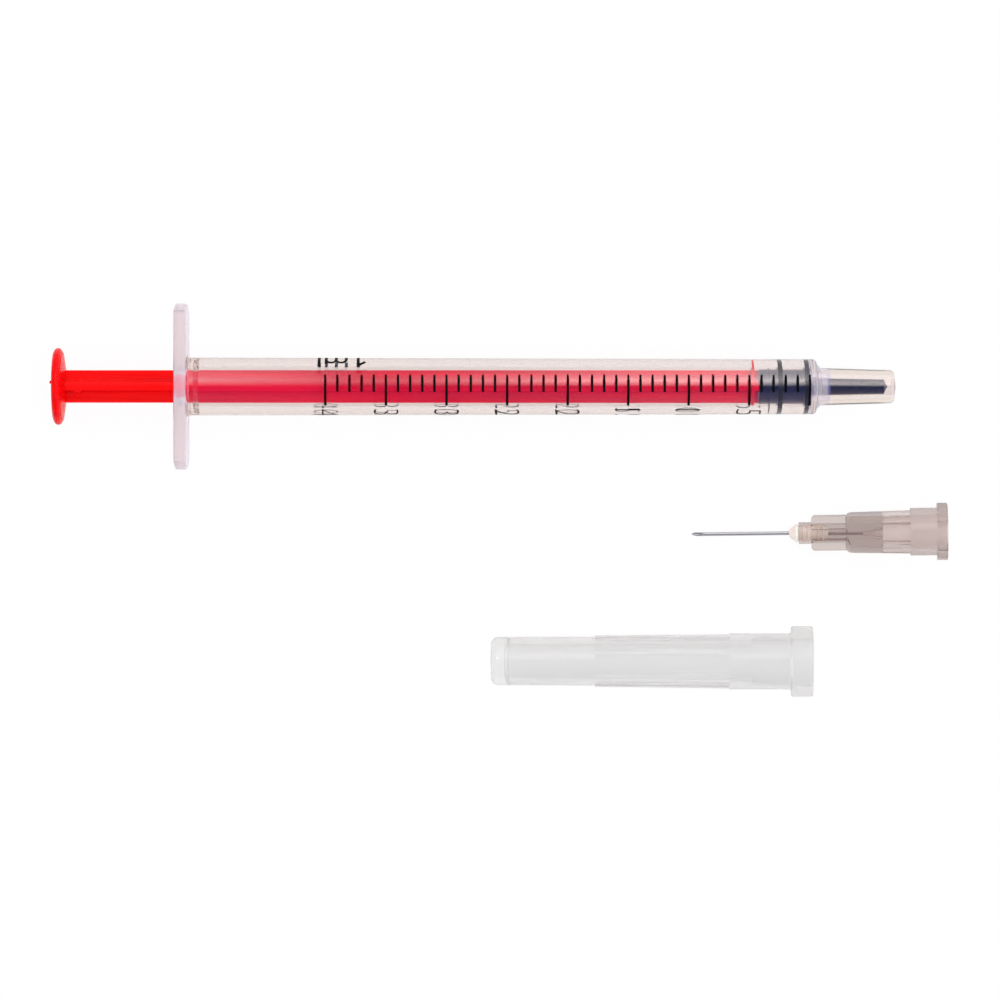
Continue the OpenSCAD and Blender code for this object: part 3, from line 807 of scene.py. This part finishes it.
@dataclass
class ScaleMarks:
    """Marks of the printed scale, as a geometry tree.

    Sizes are in millimetres. The way round the barrel is counted from its top line, and is
    positive towards the side away from the needle cap.

    Attributes:
        zero_at: Station of the zero mark.
        pitch: Distance between two marks.
        units: Number of marks after the zero mark.
        step: Number of units from one long mark to the next.
        start: Where the marks start.
        short: Length of a short mark.
        long: Length of a long mark.
        line_w: Width of a mark.
        thin: Share of that width at the start of a mark, where the screen lifts off.
        taper: Share of a mark's length over which it widens.
        rows: Number of rows of points in a mark.
    """

    zero_at: float
    pitch: float
    units: int
    step: int
    start: float = 1.38
    short: float = 2.1
    long: float = 3.92
    line_w: float = 0.3
    thin: float = 0.8
    taper: float = 0.3
    rows: int = 17

    def tree(self, wrap_tree: bpy.types.NodeTree) -> bpy.types.NodeTree:
        """Makes the tree of the marks.

        Args:
            wrap_tree: Tree that lays the flat marks on the barrel.

        Returns:
            The tree.
        """
        lengths = {"Zero Station": self.zero_at, "Pitch": self.pitch, "Start": self.start,
                   "Line Width": self.line_w, "Short Mark": self.short, "Long Mark": self.long}
        inputs = {label: ("NodeSocketFloat", value * MM) for label, value in lengths.items()}
        inputs["Marks"] = ("NodeSocketInt", self.units + 1)
        inputs["Step"] = ("NodeSocketInt", self.step)
        inputs["Thin Share"] = ("NodeSocketFloat", self.thin)
        made = new_tree("scale_marks", inputs)
        given = add(made, "NodeGroupInput")
        first = add(made, "ShaderNodeCombineXYZ", {},
                    {"X": given.outputs["Zero Station"], "Y": given.outputs["Start"]})
        back = add(made, "ShaderNodeMath", {"operation": "MULTIPLY", 1: -1.0},
                   {0: given.outputs["Pitch"]})
        apart = add(made, "ShaderNodeCombineXYZ", {}, {"X": back.outputs[0]})
        places = add(made, "GeometryNodeMeshLine", {}, {
            "Count": given.outputs["Marks"], "Start Location": first.outputs["Vector"],
            "Offset": apart.outputs["Vector"]})
        number = add(made, "GeometryNodeInputIndex")
        rest = add(made, "ShaderNodeMath", {"operation": "MODULO"},
                   {0: number.outputs["Index"], 1: given.outputs["Step"]})
        is_long = add(made, "FunctionNodeCompare", {"operation": "LESS_THAN", 1: 0.5},
                      {0: rest.outputs[0]})
        reach = add(made, "GeometryNodeSwitch", {"input_type": "FLOAT"}, {
            "Switch": is_long.outputs["Result"], "False": given.outputs["Short Mark"],
            "True": given.outputs["Long Mark"]})
        size = add(made, "ShaderNodeCombineXYZ", {"Z": 1.0},
                   {"X": given.outputs["Line Width"], "Y": reach.outputs["Output"]})
        copies = add(made, "GeometryNodeInstanceOnPoints", {}, {
            "Points": places.outputs["Mesh"], "Instance": self.strip(made, given),
            "Scale": size.outputs["Vector"]})
        flat = add(made, "GeometryNodeRealizeInstances", {},
                   {"Geometry": copies.outputs["Instances"]})
        laid = add(made, "GeometryNodeGroup", {"node_tree": wrap_tree})
        made.links.new(flat.outputs["Geometry"], laid.inputs["Geometry"])
        add(made, "NodeGroupOutput", {}, {"Geometry": laid.outputs["Geometry"]})
        return made

    def strip(self, tree: bpy.types.NodeTree, given: bpy.types.Node) -> bpy.types.NodeSocket:
        """Adds one mark of width and length 1, which starts at its top and is thin there.

        Args:
            tree: Tree of the marks.
            given: Input node of the tree.

        Returns:
            The socket of the mark's mesh.
        """
        grid = add(tree, "GeometryNodeMeshGrid",
                   {"Size X": 1.0, "Size Y": 1.0, "Vertices X": 2, "Vertices Y": self.rows})
        spot = add(tree, "GeometryNodeInputPosition")
        parts = add(tree, "ShaderNodeSeparateXYZ", {}, {"Vector": spot.outputs["Position"]})
        width = add(tree, "ShaderNodeMapRange", {
            "interpolation_type": "SMOOTHSTEP", "From Min": 0.5, "From Max": 0.5 - self.taper,
            "To Max": 1.0},
            {"Value": parts.outputs["Y"], "To Min": given.outputs["Thin Share"]})
        x = add(tree, "ShaderNodeMath", {"operation": "MULTIPLY"},
                {0: parts.outputs["X"], 1: width.outputs["Result"]})
        y = add(tree, "ShaderNodeMath", {"operation": "SUBTRACT", 1: 0.5}, {0: parts.outputs["Y"]})
        moved = add(tree, "ShaderNodeCombineXYZ", {}, {"X": x.outputs[0], "Y": y.outputs[0]})
        shaped = add(tree, "GeometryNodeSetPosition", {},
                     {"Geometry": grid.outputs["Mesh"], "Position": moved.outputs["Vector"]})
        return shaped.outputs["Geometry"]


@dataclass
class Lettering:
    """Flat numbers and letters of the print, with a mesh that is fine enough to wrap.

    Sizes are in millimetres, and places are counted as those of the marks.

    Attributes:
        digit_h: Height of the digits, which lie along the barrel.
        digit_at: Where the digits start.
        boldness: Amount by which the strokes of the digits are widened.
        stroke_w: Width of the strokes of the volume.
        tall_at: Where the tops of the figure and of the tall letter are.
        low_at: Where the top of the low letter is.
        base_at: Where the feet of all letters are.
        figure_at: Station of the upright of the figure 1.
        flag: Reach of its flag along and round the barrel.
        low_letter_at: Stations of the three uprights of the low letter.
        tall_letter_at: Station of the tall letter.
        net: Longest edge in the mesh.
        weld: Distance below which two points of the mesh are one.
        cuts: Number of times that longer edges are cut.
        bow_steps: Number of steps along each stretch of a digit's outline.
        arch_steps: Number of steps along an arch of the low letter.
    """

    digit_h: float = 2.95
    digit_at: float = -3.2
    boldness: float = -0.07
    stroke_w: float = 0.36
    tall_at: float = 2.5
    low_at: float = 3.1
    base_at: float = 5.7
    figure_at: float = 21.77
    flag: tuple[float, float] = (0.85, 0.75)
    low_letter_at: tuple[float, float, float] = (17.98, 19.16, 20.34)
    tall_letter_at: float = 17.14
    net: float = 0.25
    weld: float = 0.0011
    cuts: int = 5
    bow_steps: int = 5
    arch_steps: int = 12

    def number(self, text: str, station: float, whole: bmesh.types.BMesh) -> None:
        """Adds a number whose digits lie on their side, with their tops towards the nozzle.

        Args:
            text: The number.
            station: Station of the middle of its digits' height.
            whole: Mesh that it is added to.
        """
        curve = bpy.data.curves.new("lettering", "FONT")
        curve.body = text
        curve.size = self.digit_h * MM
        curve.resolution_u = self.bow_steps
        curve.offset = self.boldness * MM
        mesh = evaluated_mesh(linked_object("lettering", curve))
        low = [min(v.co[i] for v in mesh.vertices) for i in range(2)]
        top = max(v.co.y for v in mesh.vertices)
        factor = self.digit_h * MM / (top - low[1])
        foot = Matrix.Translation(((station - self.digit_h / 2) * MM, self.digit_at * MM, 0))
        turn = Matrix.Rotation(-math.pi / 2, 4, "Z")
        corner = Matrix.Translation((-low[0], -low[1], 0))
        mesh.transform(foot @ turn @ Matrix.Scale(factor, 4) @ corner)
        whole.from_mesh(mesh)
        bpy.data.meshes.remove(mesh)

    def stroke(self, points: list[tuple[float, float]], whole: bmesh.types.BMesh) -> None:
        """Adds a stroke of even width along a line of points.

        Args:
            points: Points as (station, way round).
            whole: Mesh that it is added to.
        """
        spots = [Vector(p) for p in points]
        pairs = []
        for i, spot in enumerate(spots):
            ahead = (spots[min(i + 1, len(spots) - 1)] - spots[max(i - 1, 0)]).normalized()
            out = Vector((-ahead.y, ahead.x)) * self.stroke_w / 2
            pairs.append([whole.verts.new(((spot + out * way).x * MM, (spot + out * way).y * MM, 0))
                          for way in (1, -1)])
        for (a, b), (c, d) in zip(pairs, pairs[1:]):
            whole.faces.new((a, b, d, c))

    def volume(self, whole: bmesh.types.BMesh) -> None:
        """Adds the volume of one millilitre, whose letters stand on their heads.

        Args:
            whole: Mesh that it is added to.
        """
        bulge = (self.low_letter_at[1] - self.low_letter_at[0]) / 2
        spring = self.low_at + self.stroke_w / 2 + bulge
        for station in (self.figure_at, self.tall_letter_at):
            self.stroke([(station, self.base_at), (station, self.tall_at)], whole)
        tip = (self.figure_at, self.tall_at + self.stroke_w / 2)
        self.stroke([tip, (tip[0] + self.flag[0], tip[1] + self.flag[1])], whole)
        first = self.low_letter_at[0]
        self.stroke([(first, self.base_at), (first, self.low_at)], whole)
        turns = [math.pi * i / self.arch_steps for i in range(self.arch_steps + 1)]
        for near in self.low_letter_at[:2]:
            arch = [(near + bulge - bulge * math.cos(turn), spring - bulge * math.sin(turn))
                    for turn in turns]
            self.stroke([*arch, (near + 2 * bulge, self.base_at)], whole)

    def refine(self, whole: bmesh.types.BMesh) -> None:
        """Makes the mesh fine enough to wrap, with all faces upwards.

        Args:
            whole: The mesh.
        """
        bmesh.ops.remove_doubles(whole, verts=whole.verts, dist=self.weld * MM)
        bmesh.ops.triangulate(whole, faces=whole.faces)
        for _ in range(self.cuts):
            long_edges = [e for e in whole.edges if e.calc_length() > self.net * MM]
            bmesh.ops.subdivide_edges(whole, edges=long_edges, cuts=1)
            bmesh.ops.triangulate(whole, faces=whole.faces)
        whole.normal_update()
        bmesh.ops.reverse_faces(whole, faces=[f for f in whole.faces if f.normal.z < 0])


@dataclass
class PrintedScale:
    """The printed scale of forty units on the barrel.

    Attributes:
        bore_d: Diameter of the bore in millimetres, which sets the distance between the marks.
        zero_at: Station of the zero mark in millimetres.
        units: Number of units on the scale.
        step: Number of units from one number to the next.
        millilitres: Volume that all units stand for.
        wrap: Tree that lays the print on the barrel.
        letters: Lettering of the print.
    """

    bore_d: float
    zero_at: float
    units: int = 40
    step: int = 5
    millilitres: float = 1.0
    wrap: BarrelWrap = field(default_factory=BarrelWrap)
    letters: Lettering = field(default_factory=Lettering)

    def pitch(self) -> float:
        """Returns the distance between two marks in millimetres."""
        area = math.pi * self.bore_d ** 2 / 4
        return self.millilitres * CUBIC_MM_PER_ML / area / self.units

    def build(self, place: Placement) -> None:
        """Prints the marks and the lettering on the barrel.

        Args:
            place: Placement of the syringe.
        """
        ink = INK_FINISH.material()
        wrap_tree = self.wrap.tree(ink)
        marks = ScaleMarks(self.zero_at, self.pitch(), self.units, self.step)
        carrier = object_of("marks", bmesh.new())
        run_tree(carrier, marks.tree(wrap_tree), {"Marks": self.units + 1, "Step": self.step})
        whole = bmesh.new()
        for value in range(self.step, self.units + 1, self.step):
            self.letters.number(str(value), self.zero_at - value * self.pitch(), whole)
        self.letters.volume(whole)
        self.letters.refine(whole)
        printed = object_of("lettering", whole)
        run_tree(printed, wrap_tree, {"Film": self.wrap.film * MM})
        for source, name in ((carrier, "scale_marks"), (printed, "scale_numbers")):
            piece = plain_mesh(source, name)
            piece.data.transform(place.matrix())
            # The record has no slot for ink, so the print keeps the ink's own material
            settle(piece, Body.BARREL, ink)


# Sub-assemblies


@dataclass
class Syringe:
    """Barrel, plunger rod and stopper.

    Sizes are in millimetres, as stations along the axis from the rear face of the flange.

    Attributes:
        nozzle_tip: Station of the nozzle mount.
        bore_d: Diameter of the bore.
        zero_at: Station of the zero mark of the scale.
        press: Depth to which rubber stands in the wall, so that no air is between them.
        seal_w: Width of the stretch of a sealing rib that touches the wall.
        seals: Front edge of each such stretch.
        guide: Front edge and thickness of the guide disc of the rod.
        guide_spread: Angles between which the guide disc touches the bore.
        wiper: Front edge and thickness of the wiping lip.
        wiper_spread: Angles between which the wiping lip touches the bore.
        ease_share: Share of a stretch's width over which it comes up to the bore.
        step_angle: Angle of one step round the bore, in degrees.
    """

    nozzle_tip: float = 85.6
    bore_d: float = 4.71
    zero_at: float = 75.29
    press: float = 0.012
    seal_w: float = 0.62
    seals: tuple[float, ...] = (75.37, 72.17)
    guide: tuple[float, float] = (68.79, 0.26)
    guide_spread: tuple[float, float] = (-8, 38)
    wiper: tuple[float, float] = (70.65, 0.15)
    wiper_spread: tuple[float, float] = (142, 188)
    ease_share: float = 0.125
    step_angle: float = 3.0

    def band(self, name: str, front: float, width: float, spread: tuple[float, float],
             place: Placement) -> bpy.types.Object:
        """Makes the stretch of a rib that is pressed against the bore.

        Args:
            name: Name of the piece.
            front: Station of its front edge.
            width: Its width.
            spread: First and last angle in degrees, from the side upwards.
            place: Placement of the syringe.

        Returns:
            The piece.
        """
        outer = self.bore_d / 2 + self.press
        inner = self.bore_d / 2 - self.press * 2
        ease = width * self.ease_share
        rear = front - width
        profile = [(rear, inner), (rear + ease, outer), (front - ease, outer), (front, inner)]
        steps = round(abs(spread[1] - spread[0]) / self.step_angle)
        return turned_ring(name, profile, place, spread, steps)

    def build(self, nodes: dict[str, bpy.types.Object], place: Placement) -> None:
        """Dresses the syringe and adds what is printed and pressed on it.

        Args:
            nodes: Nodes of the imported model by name.
            place: Placement of the syringe.
        """
        dress(nodes["barrel"], barrel_finish(place).material())
        red = ROD_FINISH.material()
        rubber = STOPPER_FINISH.material()
        dress(nodes["plunger_rod"], red)
        dress(nodes["stopper"], rubber)
        for i, front in enumerate(self.seals):
            settle(self.band(f"seal_band_{i + 1}", front, self.seal_w, (0, 360), place),
                   Body.STOPPER, rubber)
        settle(self.band("wiper_edge", *self.wiper, self.wiper_spread, place),
               Body.STOPPER, rubber)
        settle(self.band("guide_edge", *self.guide, self.guide_spread, place),
               Body.PLUNGER, red)
        PrintedScale(self.bore_d, self.zero_at).build(place)


@dataclass
class Needle:
    """Hub, needle tube and adhesive of the loose needle.

    Sizes are in millimetres, as stations along the axis from the nose of the hub.

    Attributes:
        hub_len: Length of the hub.
        tube_r: Radius of the needle tube.
        well_r: Radius of the adhesive well.
        well_depth: Depth of the well.
        rings: Number of keying rings in it.
        ring_r: Radius of a ring.
        wetting: Depth to which the adhesive wets the plastic, so that no air is between them.
        ring_steps: Number of steps across a ring.
        steps: Number of steps round the adhesive.
    """

    hub_len: float = 17.7
    tube_r: float = 0.23
    well_r: float = 0.55
    well_depth: float = 3.5
    rings: int = 5
    ring_r: float = 0.13
    wetting: float = 0.012
    ring_steps: int = 8
    steps: int = 48

    def core(self, place: Placement) -> bpy.types.Object:
        """Makes the adhesive as it wets the ringed well.

        Args:
            place: Placement of the needle.

        Returns:
            The piece.
        """
        inner, outer = self.tube_r + self.wetting, self.well_r + self.wetting
        reach = self.ring_r + self.wetting
        pitch = self.well_depth / (self.rings + 1)
        turns = [math.pi * i / self.ring_steps for i in range(self.ring_steps + 1)]
        profile = [(0.0, inner), (0.0, outer)]
        for i in range(1, self.rings + 1):
            profile += [(pitch * i - reach * math.cos(turn), outer + reach * math.sin(turn))
                        for turn in turns]
        profile += [(self.well_depth, outer), (self.well_depth, inner)]
        return turned_ring("adhesive_core", profile, place, (0, 360), self.steps)

    def build(self, nodes: dict[str, bpy.types.Object], place: Placement) -> None:
        """Dresses the needle and adds the adhesive that wets the hub.

        Args:
            nodes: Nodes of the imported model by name.
            place: Placement of the needle.
        """
        glue = GLUE_FINISH.material()
        dress(nodes["needle_hub"], HUB_FINISH.material())
        dress(nodes["needle_cannula"], TUBE_FINISH.material())
        dress(nodes["needle_adhesive"], glue)
        settle(self.core(place), Body.NEEDLE, glue)


@dataclass
class Cap:
    """The needle cap."""

    def build(self, nodes: dict[str, bpy.types.Object]) -> None:
        """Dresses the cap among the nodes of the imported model."""
        dress(nodes["needle_cap"], CAP_FINISH.material())


@dataclass
class Studio:
    """White table, soft light and the camera.

    Attributes:
        rows: Light from the tent, as places from one horizon over the top to the other, each
            with its colour.
        columns: Shares of that light, as places along the tent, each with its share.
        light: Strength of the light where its share is 1.
        ends: Light from the two ends of the tent.
        ends_from: Places along the tent, either way, between which the rows pass over to the ends.
        table: Size of the table in metres.
        table_colour: Colour of the table where it lights the object, as linear values.
        camera_z: Height of the camera over the table.
        seen: Width in metres that the picture shows.
        seen_at: Height at which it shows that width.
        shadow: Share of the table that shows the object's shadow.
        lamp: Light of the soft lamp on a face that it stands square to, where 1 shows a colour
            as it is written.
        lamp_from: Direction that it comes from.
        lamp_size: Angle that it fills, in degrees.
    """

    rows: tuple[tuple[float, float, float, float], ...] = (
        (-1.0, 0.1, 0.09, 0.11), (-0.7, 0.06, 0.055, 0.07), (-0.4, 0.02, 0.02, 0.03),
        (-0.15, 0.01, 0.01, 0.015), (0.0, 0.02, 0.02, 0.03), (0.15, 0.3, 0.3, 0.31),
        (0.5, 1.0, 0.99, 0.98), (0.65, 0.7, 0.69, 0.69), (1.0, 0.35, 0.35, 0.35))
    columns: tuple[tuple[float, float], ...] = (
        (-0.06, 0.6), (-0.035, 0.45), (0.0, 0.08), (0.045, 0.7), (0.075, 1.0))
    light: float = 3.9
    ends: tuple[float, float, float, float] = (0.3, 0.29, 0.3, 1.0)
    ends_from: tuple[float, float] = (0.25, 0.45)
    table: float = 3.0
    table_colour: tuple[float, float, float, float] = (0.9, 0.89, 0.89, 1.0)
    camera_z: float = 0.5155
    seen: float = 1 / PIXELS_PER_MM
    seen_at: float = 0.0045
    shadow: float = 0.06
    lamp: float = 0.4
    lamp_from: tuple[float, float, float] = (0.0, -0.4, 1.0)
    lamp_size: float = 60.0

    def bands(self, tree: bpy.types.NodeTree, place: bpy.types.NodeSocket,
              rows: tuple[tuple[float, float, float, float], ...]) -> bpy.types.NodeSocket:
        """Adds bands of light across the sky that pass over into each other.

        Args:
            tree: Tree of the sky.
            place: Socket of the place across the bands, from -1 to 1.
            rows: Place and linear red, green and blue of each band.

        Returns:
            The socket of the colour.
        """
        across = add(tree, "ShaderNodeMapRange", {"From Min": -1.0}, {"Value": place})
        ramp = add(tree, "ShaderNodeValToRGB", {}, {"Fac": across.outputs["Result"]})
        stops = ramp.color_ramp.elements
        for _ in rows[2:]:
            stops.new(0.5)
        for stop, (spot, *colour) in zip(stops, rows):
            stop.position = (spot + 1) / 2
            stop.color = (*colour, 1.0)
        return ramp.outputs["Color"]

    def sky(self) -> None:
        """Makes the sky, a tent with a dark gap overhead, and plain white to the camera."""
        world = bpy.data.worlds.new("light_tent")
        bpy.context.scene.world = world
        world.use_nodes = True
        tree = world.node_tree
        tree.nodes.clear()
        direction = add(tree, "ShaderNodeTexCoord")
        parts = add(tree, "ShaderNodeSeparateXYZ", {}, {"Vector": direction.outputs["Generated"]})
        rows = self.bands(tree, parts.outputs["Y"], self.rows)
        columns = tuple((place, share, share, share) for place, share in self.columns)
        shares = self.bands(tree, parts.outputs["X"], columns)
        power = add(tree, "ShaderNodeMath", {"operation": "MULTIPLY", 1: self.light}, {0: shares})
        out = add(tree, "ShaderNodeMath", {"operation": "ABSOLUTE"}, {0: parts.outputs["X"]})
        end = add(tree, "ShaderNodeMapRange", {
            "interpolation_type": "SMOOTHSTEP", "From Min": self.ends_from[0],
            "From Max": self.ends_from[1]}, {"Value": out.outputs[0]})
        light = add(tree, "ShaderNodeMix", {"data_type": "RGBA", 7: self.ends},
                    {0: end.outputs["Result"], 6: rows})
        lit = add(tree, "ShaderNodeBackground", {},
                  {"Color": light.outputs[2], "Strength": power.outputs[0]})
        white = add(tree, "ShaderNodeBackground", {"Color": (1, 1, 1, 1)})
        path = add(tree, "ShaderNodeLightPath")
        both = add(tree, "ShaderNodeMixShader", {}, {
            0: path.outputs["Is Camera Ray"], 1: lit.outputs["Background"],
            2: white.outputs["Background"]})
        add(tree, "ShaderNodeOutputWorld", {}, {"Surface": both.outputs["Shader"]})

    def table_top(self) -> None:
        """Makes the table, white to the eye, in gloss and through plastic, with a faint shadow."""
        shape = bmesh.new()
        bmesh.ops.create_grid(shape, x_segments=1, y_segments=1, size=self.table / 2)
        top = object_of("table_top", shape)
        material = bpy.data.materials.new("white_table")
        material.use_nodes = True
        tree = material.node_tree
        tree.nodes.clear()
        matt = add(tree, "ShaderNodeBsdfDiffuse", {"Color": self.table_colour})
        glow = add(tree, "ShaderNodeEmission", {"Color": (1, 1, 1, 1), "Strength": 1.0})
        path = add(tree, "ShaderNodeLightPath")
        seen = path.outputs["Is Camera Ray"]
        for ray in ("Is Glossy Ray", "Is Transmission Ray"):
            either = add(tree, "ShaderNodeMath", {"operation": "MAXIMUM"},
                         {0: seen, 1: path.outputs[ray]})
            seen = either.outputs[0]
        share = add(tree, "ShaderNodeMath", {"operation": "MULTIPLY", 1: 1 - self.shadow},
                    {0: seen})
        both = add(tree, "ShaderNodeMixShader", {}, {
            0: share.outputs[0], 1: matt.outputs["BSDF"], 2: glow.outputs["Emission"]})
        add(tree, "ShaderNodeOutputMaterial", {}, {"Surface": both.outputs["Shader"]})
        dress(top, material)

    def lamps(self) -> None:
        """Makes the soft lamp from the side of the needle cap, which no gloss or plastic shows."""
        data = bpy.data.lights.new("soft_lamp", "SUN")
        data.energy = self.lamp * math.pi
        data.angle = math.radians(self.lamp_size)
        lamp = linked_object("soft_lamp", data)
        lamp.rotation_euler = Vector(self.lamp_from).to_track_quat("Z", "Y").to_euler()
        lamp.visible_glossy = False
        lamp.visible_transmission = False

    def camera(self) -> None:
        """Makes the camera, which looks straight down over the middle of the picture."""
        data = bpy.data.cameras.new("camera")
        half = math.atan(self.seen / 2 / (self.camera_z - self.seen_at))
        data.lens = data.sensor_width / 2 / math.tan(half)
        eye = linked_object("camera", data)
        eye.location = (0, 0, self.camera_z)
        bpy.context.scene.camera = eye

    def build(self) -> None:
        """Sets up the table, the light and the camera."""
        self.camera()
        self.sky()
        self.table_top()
        self.lamps()
        bpy.context.scene.view_settings.view_transform = "Standard"


def item_place(frame: dict, mount: str, back_mm: float) -> Placement:
    """Finds the axis of an item from one of its mounts.

    Args:
        mount: Name of a mount on the axis.
        back_mm: Distance from the mount back to the item's station zero.

    Returns:
        The placement.
    """
    found = next(m for m in frame["record"]["mounts"] if m["name"] == mount)
    along = Vector(found["axis"]).normalized()
    return Placement(Vector(found["pos_m"]) - along * back_mm * MM, along)


def main() -> None:
    """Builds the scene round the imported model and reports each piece."""
    logging.basicConfig(level=logging.INFO, format="%(message)s")
    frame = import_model()
    bpy.context.view_layer.update()
    nodes = frame["nodes"]
    syringe, needle = Syringe(), Needle()
    syringe.build(nodes, item_place(frame, "nozzle", syringe.nozzle_tip))
    needle.build(nodes, item_place(frame, "needle_socket", needle.hub_len))
    Cap().build(nodes)
    Studio().build()
    for piece in bpy.context.scene.objects:
        if piece.type == "MESH":
            faces, finish = len(piece.data.polygons), piece.data.materials[0].name
            LOG.info("%s: %d faces, %s", piece.name, faces, finish)


if __name__ == "__main__":
    main()
